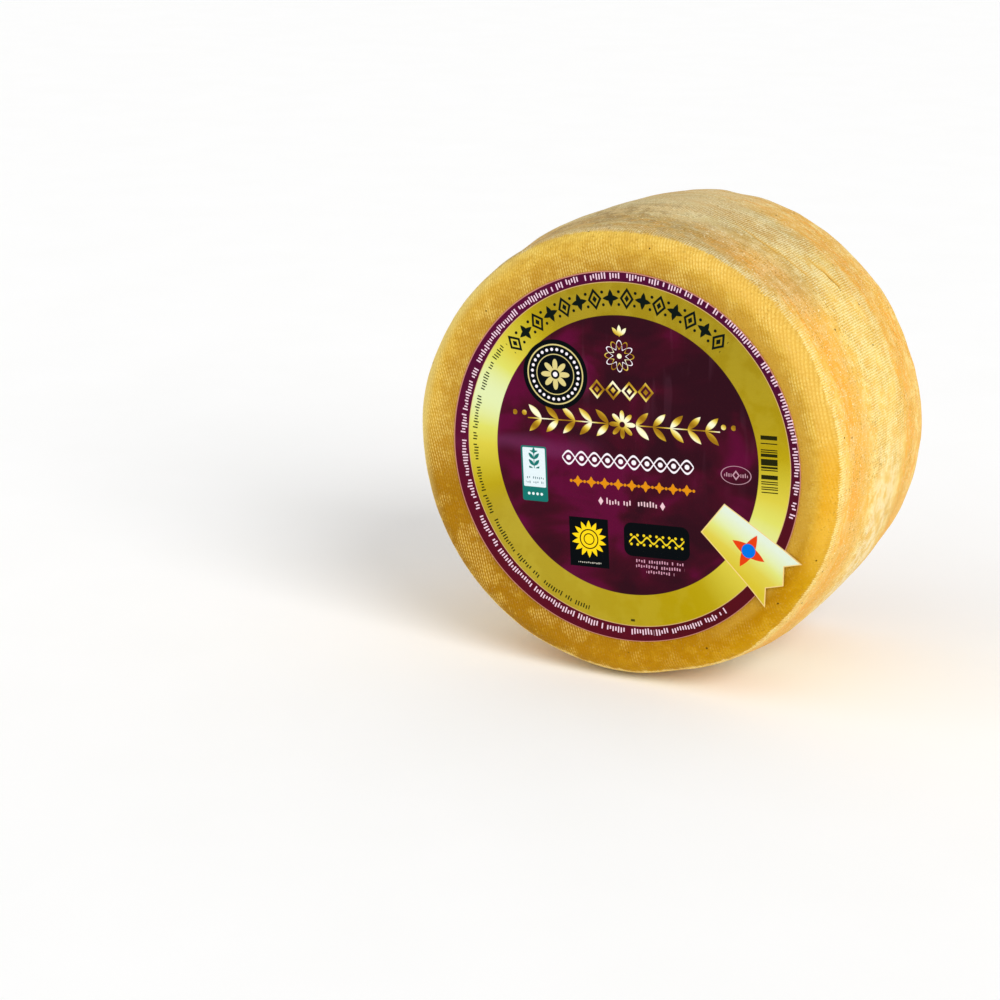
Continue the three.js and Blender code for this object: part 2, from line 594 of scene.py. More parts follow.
def cloth_marks(r, angle, depth, z, streaks, cloud, fine):
    """Height of the marks that the cloth left. On the side, ribs sin(RIB_COUNT angle) from -1 to 1, in
    patches along the middle, weaker low down, and near the front edge. On the faces, threads that lean
    to the left, each made of dashes 0.68 + 0.32 sin, and the gaps between them, 1 less the dashes."""
    wobble = fine * 0.012 - 0.006
    rib_wave = r.sum("SINE", (angle + wobble) * RIB_COUNT)
    middle = r.within(depth + (streaks * 10 - 5), 37, 71, 7)
    middle = middle * (r.above(z, 6, 60) * 0.3 + 0.7)
    near_edge = r.within(depth, 4, 11, 4) * (r.above(fine, 0.44, 0.16) * 0.7 + 0.3)
    patchy = r.above(cloud, 0.4, 0.2)
    strength = r.either(near_edge * 0.9, patchy * (middle * 0.88 + 0.12))
    ribs = rib_wave * strength
    across, _, up = r.parts(r.space((AXIS[0], FRONT, AXIS[1]), turn=THREAD_LEAN))
    thread = across / THREAD_PITCH + cloud * 1.3
    own_start = r.chance(r.sum("FLOOR", thread))
    dash = up / DASH_PITCH + fine
    dash = (dash + own_start) * (2 * math.pi)
    thread_height = r.above(abs(r.sum("SINE", thread * math.pi)), 0.66, 0.56)
    dashes = thread_height * (r.sum("SINE", dash) * 0.32 + 0.68)
    return ribs, dashes, 1 - dashes


def side_colour(r, place, x, depth, z, broad, cloud, mottle, streaks, ribs):
    """Colour of the side: bands of cream, tan and orange, greyish and darker on top as a real bloom and
    as painted shade, and over them fine lines, mottle, bloom, stains, folds and the ribs, whose crests
    and hollows carry painted highlight and shade. Also where it is greyer."""
    strokes = r.noise(r.stretched(place, (0.4, 1.3, 0.4)), 2.6, 3, 0.7)
    lines = r.noise(r.stretched(place, (0.15, 1, 0.15)), 6.4, 3, 0.55)
    drift = r.noise(r.stretched(place, (0.5, 1, 0.5)), 15, 2, 0.5)
    share = (depth + (streaks * 12 - 6) + (cloud * 9 - 4.5)) / WIDTH
    warm = r.ramp(share, [
        (0, 246, 212, 104), (0.05, 246, 214, 106), (0.11, 241, 201, 92), (0.17, 238, 176, 54),
        (0.25, 236, 186, 72), (0.34, 235, 198, 92), (0.45, 240, 211, 112), (0.56, 240, 208, 104),
        (0.64, 236, 192, 78), (0.74, 236, 177, 52), (0.88, 232, 180, 66), (1, 226, 172, 60),
    ])
    # Greyish and darker on top: partly a real bloom, partly painted shade
    top_bloom_and_shade = r.ramp(share, [
        (0, 204, 170, 88), (0.08, 188, 158, 84), (0.17, 172, 146, 76), (0.26, 184, 158, 88),
        (0.38, 202, 182, 116), (0.52, 202, 178, 108), (0.64, 206, 172, 86), (0.76, 204, 158, 62),
        (1, 204, 162, 72),
    ])
    # Where the top lies; marks laid over the side take darker, greyish copies there, partly painted
    # shade
    height_share = z / 90 + (broad * 0.7 - 0.35)
    on_top = r.above(height_share, 0.74, 0.5)
    behind_right = r.both(r.above(depth, 72, 24), r.above(x, 12, 50))
    on_top = on_top * (1 - behind_right * 0.65)
    side = Coat(r, r.mix(on_top, warm, top_bloom_and_shade))
    side.lay(r.both(r.above(drift, 0.52, 0.14), on_top), (182, 166, 110), 0.42)
    side.lay(r.both(r.below(drift, 0.46, 0.14), on_top), (202, 152, 78), 0.36)
    line_share = on_top * 0.18 + 0.14
    bright_line = r.both(r.above(lines, 0.53, 0.12), line_share)
    side.lay(bright_line, r.mix(on_top, (252, 236, 176), (224, 214, 168)))
    dark_line = r.both(r.below(lines, 0.47, 0.12), line_share)
    side.lay(dark_line, r.mix(on_top, (232, 172, 66), (176, 132, 62)))
    pale = r.above(mottle, 0.53, 0.14)
    side.lay(pale, r.mix(on_top, (249, 230, 158), (228, 214, 172)), 0.42)
    deep = r.below(mottle, 0.46, 0.16)
    side.lay(deep, r.mix(on_top, (220, 164, 62), (180, 140, 74)), 0.5)
    crest = r.both(r.above(z, 84, 14), r.below(x, 22, 34), r.above(depth, 26, 14))
    side.lay(crest, (228, 214, 168), 0.34)
    tan = r.both(r.within(depth, 12, 32, 12), r.above(abs(x), 34, 40), r.above(mottle, 0.46, 0.3))
    side.lay(tan, (220, 158, 64), 0.5)
    back_band = r.both(r.within(depth, 71, 84, 8), r.above(abs(x), 30, 60))
    side.lay(back_band, (214, 150, 46), 0.3)
    low_bloom = r.both(r.below(z, -2, 44), r.within(depth, 38, 64, 14), r.above(mottle, 0.48, 0.16))
    side.lay(low_bloom, (253, 242, 218), 0.44)
    stroke_bands = r.either(r.within(depth, 12, 24, 8), r.within(depth, 68, 100, 16))
    orange = r.above(strokes + streaks * 0.6, 0.86, 0.12)
    orange = r.both(orange, stroke_bands * 0.46 + 0.18)
    side.lay(orange, r.mix(on_top, (240, 158, 28), (204, 148, 60)))
    olive = r.above(mottle + broad * 0.5, 0.76, 0.14)
    near_front = r.within(depth, 7, 46, 12)
    olive = r.both(olive, on_top, near_front * 0.55 + 0.12, r.below(x, 26, 50))
    side.lay(olive, (138, 104, 42))
    fold = r.near(streaks - 0.52, 0.01, 0.012)
    fold = r.both(fold, r.within(depth, 22, 84, 10), r.above(cloud, 0.46, 0.1))
    side.lay(fold, (196, 150, 54), 0.42)
    # The ribs: pale crests and dark hollows, partly the cloth's own mark and partly painted highlight
    # and painted shade
    side.lay(ribs * 0.34 + 0.04, (255, 244, 190))
    side.lay(ribs * -0.28, (186, 132, 44))
    return side.colour, on_top


def face_colour(r, x, depth, z, radius, broad, cloud, mottle, dashes, gaps):
    """Colour of both faces: amber, with painted shade that deepens it low down, at the lower left and
    next to the label at the upper right, and a painted highlight that makes it paler towards the
    rounded edge;
    then the dashes and gaps of the weave, with smoother patches at the right. Also the dashes as they
    show."""
    across_ring = radius / 20 - 3.7
    # Across the ring: painted shade darkens it next to the label, and a painted highlight brightens it
    # towards the rounded edge
    upper = r.ramp(across_ring, [
        (0.05, 186, 140, 42), (0.26, 196, 149, 48), (0.44, 212, 167, 58), (0.6, 218, 176, 66),
        (0.72, 233, 197, 88),
    ])
    # Painted shade and painted warm bounce light: a deeper, more saturated amber for the lower part of
    # the face
    lower = r.ramp(across_ring, [(0.1, 168, 116, 0), (0.5, 182, 128, 0), (0.9, 206, 156, 2)])
    # Where the painted shade of the lower face lies
    low = r.above(-z - x * 0.1 + (cloud * 30 - 15), 16, 36)
    face = Coat(r, r.mix(low, upper, lower))
    # Painted shade, deepest at the lower left
    lower_left_shade = r.both(low, r.below(x, -14, 70))
    face.lay(lower_left_shade, (150, 101, 0), 0.8)
    face.lay(r.below(mottle, 0.46, 0.16), (178, 124, 2), 0.36)
    # Pale threads, in a darker copy where the painted shade lies low down
    thread_colour = r.mix(low, (240, 204, 92), (218, 170, 34))
    face.lay(r.above(mottle, 0.55, 0.16), thread_colour, 0.28)
    in_band = r.below(radius + cloud * 6, 84, 3)
    smooth_band = r.both(r.above(x, 44, 22), in_band, r.below(depth, 50, 10))
    to_right = r.above(x, 10, 90)
    upper_right = r.both(to_right, 1 - low)
    # Painted shade next to the label at the upper right
    face.lay(r.both(upper_right, r.below(radius, 80.5, 9), 0.6), (176, 134, 44))
    # Painted highlight on the rounded edge at the upper right, deeper gold low down
    ridge_highlight = r.mix(r.above(z, 16, 30), (218, 158, 24), (222, 177, 78))
    face.lay(r.both(upper_right, r.above(radius, 85, 4), 0.8), ridge_highlight)
    # Painted highlight: a pale, satiny band on the rounded edge at the left
    left_ridge_highlight = r.both(r.below(x, -52, 40), r.above(radius, 86, 5), r.above(z, -22, 50))
    face.lay(left_ridge_highlight, (242, 217, 128), 0.8)
    behind = r.above(depth, 80, 40)
    face.lay(behind, (222, 164, 66), 0.65)
    rubbed = r.above(cloud + broad * 0.6, 0.84, 0.14)
    strength = r.blend(low, rubbed * 0.3 + 0.19, rubbed * 0.6 + 0.08)
    lower_right = r.both(to_right, r.below(z, 14, 44))
    smoother = r.either(smooth_band, lower_right, behind * 0.5)
    dashes = r.both(dashes, strength, 1 - smoother * 0.8)
    face.lay(r.both(gaps, 1 - smoother, 0.18), (168, 116, 18))
    # The dashes, in a darker copy where the painted shade lies low down
    face.lay(dashes, r.mix(low, (250, 222, 130), (238, 200, 104)))
    face.lay(smooth_band, (204, 160, 58), 0.5)
    return face.colour, dashes


def rind_material():
    """Cloth-marked rind: the colours of the faces and the side, which meet at an uneven line by each
    edge, with speckles, pale flecks, small holes darkened by painted shade, and painted shade in the
    creases."""
    r = Recipe("rind", Roughness=0.5, Specular_IOR_Level=0.03)
    place = r.space((AXIS[0], FRONT, AXIS[1]))
    x, depth, z = r.parts(place)
    angle = r.sum("ARCTAN2", z, x)
    radius = r.length(x, z)
    broad = r.noise(place, 34, 3, 0.55)
    cloud = r.noise(place, 11, 4, 0.6)
    mottle = r.noise(place, 5.5, 5, 0.75)
    fine = r.noise(place, 2.2, 4, 0.7)
    grain = r.noise(place, 0.8, 2, 0.6)
    streaks = r.noise(r.stretched(place, (0.25, 1, 0.25)), 6, 3, 0.6)
    crease = r.add("ShaderNodeAttribute", output="Fac", attribute_name="crease")
    ribs, dashes, gaps = cloth_marks(r, angle, depth, z, streaks, cloud, fine)
    side, on_top = side_colour(r, place, x, depth, z, broad, cloud, mottle, streaks, ribs)
    face, dashes = face_colour(r, x, depth, z, radius, broad, cloud, mottle, dashes, gaps)

    border = r.either(x, 0) * -EDGE_SLANT - EDGE_DEPTH + (fine * 2.6 - 1.3)
    border = border + (cloud * 3 - 1.5 + ribs * 0.5) - r.above(z, 52, 40) * 1.6
    behind_edge = r.above(depth + border, 0, 1.3)
    on_side = r.both(behind_edge, r.below(depth - border, WIDTH, 3))
    rind = Coat(r, r.mix(on_side, face, side))
    specks = r.above(grain, 0.62, 0.08)
    patches = r.above(cloud + on_top * 0.14, 0.5, 0.2)
    specks = r.both(specks, patches, on_side * 0.4 + 0.6)
    rind.lay(specks, (134, 98, 24), 0.6)
    flecks = r.both(r.below(grain, 0.37, 0.07), r.above(fine, 0.48, 0.2))
    flecks = r.both(flecks, on_side * 0.88 + 0.12)
    rind.lay(flecks, (255, 248, 210), 0.6)
    spot_distance, spot_colour = r.cells(place, 7)
    chosen = r.above(r.parts(spot_colour)[0], 0.66, 0.02)
    # Painted shade in the small pits, which the bump also sinks
    hole = r.both(r.below(spot_distance, 0.058, 0.03), chosen)
    rind.lay(hole, (92, 66, 14), 0.85)
    # Painted shade in the creases, darkest where they are deepest
    rind.lay(crease * 1.5, (208, 158, 56))
    rind.lay(r.above(crease, 0.72, 0.7), (104, 66, 10))

    height = ribs * 0.08 + dashes * 0.08 + mottle * 0.45 + fine * 0.28 + grain * 0.14 - hole * 0.6
    roughness = mottle * 0.5 + 0.25
    return r.finish(Base_Color=rind.colour, Roughness=roughness, Normal=r.bump(height))


def moved(x, y, centre, turn=0):
    """The place (x, y) as seen from a centre, along and across a direction turned by these degrees."""
    x, y = x - centre[0], y - centre[1]
    if not turn:
        return x, y
    cosine, sine = unit(turn)
    return x * cosine + y * sine, y * cosine - x * sine


def polar(r, x, y, seam=180):
    """Distance from the centre, and angle in radians from the direction opposite to the seam."""
    x, y = moved(x, y, (0, 0), seam - 180)
    return r.length(x, y), r.sum("ARCTAN2", y, x)


def repeats(r, along, pitch, start=0):
    """The number of the cell that a place lies in, and its place from that cell's middle."""
    steps = along / pitch - start / pitch
    return r.sum("FLOOR", steps), r.sum("FRACT", steps) * pitch - pitch / 2


def slab(r, x, y, half_x, half_y):
    return r.both(r.near(x, half_x, 0.2), r.near(y, half_y, 0.2))


def round_slab(r, x, y, half_x, half_y, corner):
    """A rectangle with round corners: where the distance to its inner rectangle is small."""
    over_x = r.either(abs(x) + (corner - half_x), 0)
    over_y = r.either(abs(y) + (corner - half_y), 0)
    return r.below(r.length(over_x, over_y), corner, 0.25)


def disc(r, x, y, radius):
    return r.below(r.length(x, y), radius, 0.2)


def hoop(r, distance, radius, width):
    return r.within(distance, radius - width / 2, radius + width / 2, 0.2)


def leaf(r, x, y, half_length, half_width):
    """A pointed leaf along x: where |y| is under half_width (1 - (x / half_length)^2)."""
    share = x / half_length
    bow = share * share * half_width - half_width
    return r.below(abs(y) + bow, 0, 0.25)


def lozenge(x, y, half_x, half_y):
    """1 on the border of a lozenge, less inside and more outside: |x| / half_x + |y| / half_y."""
    return abs(x) / half_x + abs(y) / half_y


def framed(r, x, y, half_x, half_y, inner, heart):
    """A lozenge's frame, and a small lozenge in its middle."""
    border = lozenge(x, y, half_x, half_y)
    return r.either(r.within(border, inner, 1, 0.08), r.below(border, heart, 0.08))


def flower(r, x, y, reach, half_width):
    """Four leaves that cross."""
    return r.either(leaf(r, x, y, reach, half_width), leaf(r, y, x, reach, half_width))


def fine_marks(r, along, across, length_half, height, pitch, seed, gaps=0.13):
    """A line of tiny upright ticks, each of its own height and set a little high or low, with gaps."""
    cell, local = repeats(r, along, pitch)
    reach = r.chance(cell, seed + 7.3) * (0.22 * height) + 0.22 * height
    shift = r.chance(cell, seed) * (0.24 * height) - 0.12 * height
    stroke = r.near(local, 0.23 * pitch, 0.16)
    upright = r.below(abs(across - shift) - reach, 0, 0.2)
    kept = r.above(r.chance(cell, seed + 3.1), gaps, 0.01)
    return r.both(stroke, upright, kept, r.near(along, length_half, 0.2))


def garland(r, x, y, half_length, pitch, leaf_half, leaf_width, slant, stem=0.22, clear=0.3):
    """Two leafy branches that run out from the middle: in each cell two leaves, one above and one below
    the stem, that lean outwards. The middle stays clear for a share of a cell."""
    out, up = abs(x), abs(y)
    _, local = repeats(r, out, pitch, start=-0.35 * pitch)
    from_tip = local + leaf_half * math.cos(math.radians(slant))
    along, across = moved(from_tip, up, (0, 0), slant)
    leaves = leaf(r, along - leaf_half, across, leaf_half, leaf_width)
    branch = r.below(up, stem, 0.2)
    both_ends = r.both(r.below(out, half_length, 0.2), r.above(out, clear * pitch, 0.3))
    return r.both(r.either(leaves, branch), both_ends)


def gilding(r, u, v):
    """Gold ink with painted sheen: bright slanting bands on a deeper gold."""
    phase = u * 0.33 + v * 0.52
    painted_shine = r.sum("SINE", phase) * 0.5 + 0.5
    return r.ramp(painted_shine, [
        (0, 156, 112, 20), (0.4, 206, 168, 46), (0.75, 240, 222, 120), (1, 255, 252, 216),
    ])


class Print:
    """A printed sheet: its colour and its share of bare foil at (u, v), laid on bit by bit."""

    def __init__(self, r, colour, u, v):
        self.r, self.u, self.v = r, u, v
        self.colour = colour
        self.foil = 1

    def lay(self, mask, ink, foil=0):
        self.colour = self.r.mix(mask, self.colour, ink)
        self.foil = self.r.blend(mask, self.foil, foil)

    def at(self, *centre):
        return moved(self.u, self.v, centre)


# Radii of the printed rings, and the inks
CENTRE_RADIUS = 56.6
GOLD_RADIUS = 69.6
BURGUNDY = (67, 11, 30)
DEEP_BURGUNDY = (46, 12, 24)
# The magenta of the painted glint patches on the burgundy
MAGENTA_GLINT = (98, 8, 56)
RIM_RED = (86, 14, 22)
RIM_PURPLE = (82, 10, 52)
BLACK_GREEN = (10, 20, 16)
WHITE = (246, 240, 246)
TEAL = (20, 112, 104)
YELLOW = (250, 212, 20)
ORANGE = (222, 140, 16)
PALE_GOLD = (214, 200, 130)
PALE_PINK = (214, 168, 184)
NEAR_BLACK = (4, 8, 12)


def foil_ground(r, place, u, v, angle):
    """Bare foil: gold, with painted reflection that makes it deeper towards the top and the right, and
    two fans of painted sheen, one at the upper left and one at the lower right, each exp(k (cos(angle -
    sheen angle) - 1))."""
    clouds = r.noise(place, 13, 3, 0.6)
    # Painted sheen: two fans of pale highlight across the gold
    left_fan = r.sum("COSINE", angle - math.radians(160))
    right_fan = r.sum("COSINE", angle + math.radians(27))
    left_fan = r.sum("EXPONENT", left_fan * 5.8 - 5.8)
    right_fan = r.sum("EXPONENT", right_fan * 7 - 7)
    sheen = r.either(left_fan, right_fan * 0.93)
    # Painted reflection: deeper gold towards the top and the right
    gold = r.mix(r.above(u, -5, 90), (184, 161, 44), (187, 161, 6))
    gold = r.mix(r.above(v, 15, 80), gold, (167, 142, 28))
    gold = r.mix(r.above(clouds, 0.5, 0.16) * 0.16, gold, (214, 196, 70))
    painted_sheen_colour = r.ramp(sheen, [
        (0.35, 194, 170, 24), (0.5, 208, 190, 50), (0.72, 227, 212, 74),
        (0.87, 230, 230, 108), (1, 234, 245, 184),
    ])
    return r.mix(r.above(sheen, 0.28, 0.3), gold, painted_sheen_colour)


def print_burgundy(p, place, radius):
    """The dark middle and the rim, with painted reflections of a creased film: soft magenta glint
    patches, faint upright pale streaks and a pale wavy fold at the left; and pale border lines."""
    r = p.r
    u, v = p.u, p.v
    # Painted reflections: the creased film's glint patches, from deep burgundy to magenta
    painted_glints = r.noise(r.stretched(place, (0.8, 1, 1.2)), 24, 3, 0.5, 0.5)
    veil = r.noise(place, 40, 1, 0.5)
    streaks = r.noise(r.stretched(place, (1, 1, 0.14)), 6, 2, 0.6)
    bright = painted_glints - v * 0.0014 - u * 0.0018
    ink = r.mix(r.above(bright, 0.46, 0.2), DEEP_BURGUNDY, BURGUNDY)
    ink = r.mix(r.above(bright, 0.57, 0.16) * 0.68, ink, MAGENTA_GLINT)
    # Painted sheen: faint pale streaks
    pale_streak_sheen = r.both(r.above(streaks, 0.6, 0.08), r.above(veil, 0.46, 0.2), r.above(v, 0, 50))
    ink = r.mix(pale_streak_sheen * 0.03, ink, (176, 110, 140))
    # Painted highlight along a fold of the film at the left
    from_fold_sheen = painted_glints * 14 - 9 + v
    fold = r.both(r.near(from_fold_sheen, 2.6, 5), r.below(u, -20, 34))
    ink = r.mix(fold * 0.36, ink, (126, 52, 100))
    p.lay(r.below(radius, CENTRE_RADIUS, 0.3), ink)
    rim_ink = r.mix(r.above(v, 0, 90), RIM_RED, RIM_PURPLE)
    p.lay(r.above(radius, GOLD_RADIUS, 0.3), r.mix(0.25, rim_ink, ink))
    p.lay(hoop(r, radius, GOLD_RADIUS, 0.26), (214, 176, 120))
    from_die = r.length(*p.at(*(DIE_CENTRE - PRINT_CENTRE)))
    p.lay(r.above(from_die, LABEL_RADIUS - 0.36, 0.15), (192, 128, 112))


def print_rim_marks(p):
    """Fine white ticks round the rim except at the ribbon, and fine dark ones down the gold's left."""
    r = p.r
    distance, angle = polar(r, p.u, p.v, seam=-35)
    middle = 72
    along = angle * middle
    marks = fine_marks(r, along, distance - middle, 2.8 * middle, 2.9, 1.2, 11)
    p.lay(marks, (238, 206, 222))
    left_middle = 66.6
    _, left_angle = polar(r, p.u, p.v, seam=18)
    along = left_angle * left_middle
    marks = fine_marks(r, along, distance - left_middle, 0.985 * left_middle, 2.7, 1.2, 37)
    p.lay(marks, (38, 44, 6))


def print_title_border(p):
    """A dark border on the gold above the middle: lozenges and crossed leaves by turns, with dots
    between them."""
    r = p.r
    middle = 63.3
    pitch = 6.9
    distance, angle = polar(r, p.u, p.v, seam=-86.5)
    along = angle * middle
    across = distance - middle
    cell, local = repeats(r, along, pitch, start=pitch / 2)
    plain = framed(r, local, across, 3, 4.3, 0.62, 0.34)
    crossed = r.either(flower(r, local, across, 3.5, 1.2), disc(r, local, across, 1.3))
    odd = r.above(r.sum("PINGPONG", cell, 1), 0.5, 0.02)
    motif = r.blend(odd, plain, crossed)
    between = r.length(abs(local) - pitch / 2, abs(across) - 2.5)
    motif = r.either(motif, r.below(between, 0.62, 0.2))
    p.lay(r.both(motif, r.near(along, 7.45 * pitch, 0.1)), BLACK_GREEN)


def print_bars(p):
    """A stack of dark bars of random thickness at the right of the gold, and a dash at its foot."""
    r = p.r
    x, y = p.at(60.9, 1.3)
    fine, _ = repeats(r, y, 0.42)
    bars = r.above(r.chance(fine, 5), 0.47, 0.02)
    p.lay(r.both(bars, slab(r, x, y, 3.4, 11.9)), (34, 34, 6))
    p.lay(slab(r, *p.at(1.2, -67.3), 0.9, 0.5), (70, 62, 10))


def print_sprig(p, ink):
    """At the top of the middle: three upright leaves over a rosette of two looped lines, each of radius
    a + b cos 6(angle), one gold and one white."""
    r = p.r
    x, y = p.at(-0.7, 50.4)
    side = abs(x)
    upright = leaf(r, y, x, 2.4, 0.85)
    along, across = moved(side, y, (0.5, -1.9), 52)
    leaning = leaf(r, along - 2, across, 2, 0.75)
    p.lay(r.either(upright, leaning), ink, 0.5)
    distance, angle = polar(r, *p.at(-0.9, 40.4))
    petals = r.sum("COSINE", angle * 6)
    p.lay(r.near(distance - (4.5 - petals * 1.7), 0.22, 0.2), WHITE)
    p.lay(r.near(distance - (petals * 1.7 + 4.5), 0.26, 0.2), ink, 0.5)
    p.lay(r.below(distance, 1, 0.2), ink, 0.5)


def print_gold_rows(p, ink):
    """A short chain of gold lozenges over a long gold garland with a round flower in its middle."""
    r = p.r
    x, y = p.at(-0.6, 26.6)
    _, local = repeats(r, x, 7)
    chain = framed(r, local, y, 3.45, 3.9, 0.68, 0.32)
    p.lay(r.both(chain, r.near(x, 14, 0.1)), ink, 0.5)
    x, y = p.at(-0.7, 13)
    branch = garland(r, x, y, 41.5, 7.4, 3.9, 1.25, 44, clear=0.8)
    distance, angle = polar(r, x, y)
    petals = abs(r.sum("COSINE", angle * 4)) * 4 + 1.7
    bloom = r.both(r.below(distance - petals, 0, 0.25), r.above(distance, 1.2, 0.25))
    beads = r.length(r.sum("PINGPONG", abs(x) - 43, 2.1), y - 2)
    beads = r.both(r.below(beads, 1.05, 0.2), r.within(abs(x), 42, 48, 0.1))
    p.lay(r.either(branch, bloom, beads), ink, 0.5)


def print_small_rows(p):
    """Under the garland: a white braid of two crossing waves with a bead in each eye, a row of orange
    flowers and dots, and a short line of fine pale ticks between two lozenges."""
    r = p.r
    x, y = p.at(0.9, -2.1)
    eye = 5.7
    wave = abs(r.sum("SINE", x * (math.pi / eye))) * 2.6
    _, local = repeats(r, x, eye)
    strand = r.near(abs(y) - wave, 0.42, 0.25)
    bead = r.below(r.length(local, y), 1, 0.25)
    p.lay(r.both(r.either(strand, bead), r.near(x, 5 * eye, 0.1)), WHITE)
    x, y = p.at(2.6, -11.5)
    pitch = 5.9
    _, local = repeats(r, x, pitch, start=pitch / 2)
    blossom = r.either(flower(r, local, y, 2.3, 0.95), disc(r, local, y, 1.1))
    dot = disc(r, abs(local) - pitch / 2, y, 0.6)
    p.lay(r.both(r.either(blossom, dot), r.near(x, 4.6 * pitch, 0.1)), ORANGE, 0.3)
    x, y = p.at(2.2, -18.9)
    marks = fine_marks(r, x, y, 11, 3, 1.25, 71, gaps=0.1)
    end = r.below(lozenge(abs(x) - 13.4, y, 1.1, 1.7), 1, 0.15)
    p.lay(r.either(marks, end), (232, 196, 204))


def print_panel(p):
    """A white panel in a teal frame at the left: a sprig of leaves, two lines of fine ticks, and a row
    of pale dots on the teal below them."""
    r = p.r
    x, y = p.at(-40.3, -10)
    p.lay(round_slab(r, x, y, 5.7, 11.4, 0.9), TEAL)
    p.lay(round_slab(r, *moved(x, y, (0, 2.6)), 5, 8.1, 0.5), (222, 236, 240))
    sprig_x, sprig_y = moved(x, y, (0, 1.4))
    leaves = r.either(
        garland(r, sprig_y, sprig_x, 8.2, 2.7, 1.75, 0.72, 42, stem=0.16),
        leaf(r, sprig_y - 8, sprig_x, 1.5, 0.62),
    )
    p.lay(r.both(leaves, r.above(sprig_y, -0.6, 0.2)), TEAL)
    line, local = repeats(r, y, 1.9, start=-4.6)
    marks = fine_marks(r, x + line * 3.7, local, 60, 1.2, 0.9, 83, gaps=0.08)
    p.lay(r.both(marks, slab(r, x, y + 2.7, 4, 1.9)), (96, 124, 132))
    _, dot_x = repeats(r, x, 1.9)
    dots = disc(r, dot_x, y + 8.4, 0.58)
    p.lay(r.both(dots, r.near(x, 3.8, 0.1)), (232, 244, 244))


def print_plates(p):
    """Below the middle: a black square with a yellow sun, and a round-cornered black plate with a
    yellow wave and its beads, over three lines of fine pink marks."""
    r = p.r
    x, y = p.at(-17, -36.6)
    p.lay(slab(r, x, y, 8.6, 10.2), NEAR_BLACK)
    sun_x, sun_y = moved(x, y, (0, 1.4))
    distance, angle = polar(r, sun_x, sun_y)
    _, turn = repeats(r, angle, math.pi / 7)
    ray = 7.7 - abs(turn) * 13
    sun = r.below(distance - ray, 0, 0.3)
    p.lay(sun, YELLOW)
    p.lay(r.either(hoop(r, distance, 3.9, 0.5), hoop(r, distance, 2.2, 0.45)), (20, 18, 6))
    p.lay(fine_marks(r, x, y + 8.4, 5, 0.8, 0.9, 103, gaps=0.05), (214, 210, 196))
    x, y = p.at(12.6, -33.5)
    p.lay(round_slab(r, x, y, 14.1, 6.9, 3.4), NEAR_BLACK)
    wave = y - r.sum("SINE", x * 1.15) * 1.15
    beads = r.length(r.sum("PINGPONG", x, 1.366), abs(y) - 1.9)
    line = r.either(r.near(wave, 0.42, 0.25), r.below(beads, 0.55, 0.2))
    p.lay(r.both(line, r.near(x, 11.9, 0.2)), (236, 206, 32))
    x, y = p.at(13.8, -44.2)
    line, local = repeats(r, y, 2.1, start=-3.15)
    marks = fine_marks(r, x + line * 5.3, local, 60, 1.5, 1.1, 117, gaps=0.12)
    narrow = r.blend(r.below(y, -1.05, 0.02), 10.4, 6)
    marks = r.both(marks, r.below(abs(x) - narrow, 0, 0.2), r.near(y, 3.15, 0.1))
    p.lay(marks, (206, 150, 172))


def print_oval(p):
    """A small pale oval outline at the right, with a lozenge in it between short rows of ticks."""
    r = p.r
    x, y = p.at(47.1, -3.6)
    oval = r.length(x / 6.4, y / 3.7)
    gem = r.within(lozenge(x, y, 1.6, 2), 0.6, 1, 0.15)
    marks = fine_marks(r, abs(x) - 3.4, y, 1.5, 2, 0.95, 131, gaps=0)
    p.lay(r.either(r.within(oval, 0.945, 1, 0.05), gem, marks) * 0.75, PALE_PINK)


def print_medal(p):
    """A black seal at the upper left: a gold ring, a ring of pale beads, and inside a second ring an
    eight-petalled gold flower with a white heart."""
    r = p.r
    distance, angle = polar(r, *p.at(-29.2, 31.4))
    p.lay(r.below(distance, 14.1, 0.25), NEAR_BLACK)
    _, turn = repeats(r, angle, math.pi / 14)
    bead = disc(r, turn * 10.1, distance - 10.1, 0.62)
    p.lay(bead, WHITE)
    petals = abs(r.sum("COSINE", angle * 4)) * 4 + 2.2
    bloom = r.both(r.below(distance - petals, 0, 0.3), r.above(distance, 1.9, 0.2))
    rings = r.either(hoop(r, distance, 12, 0.55), hoop(r, distance, 8.1, 0.35))
    p.lay(r.either(bloom, rings), PALE_GOLD)
    p.lay(r.below(distance, 1, 0.2), WHITE)


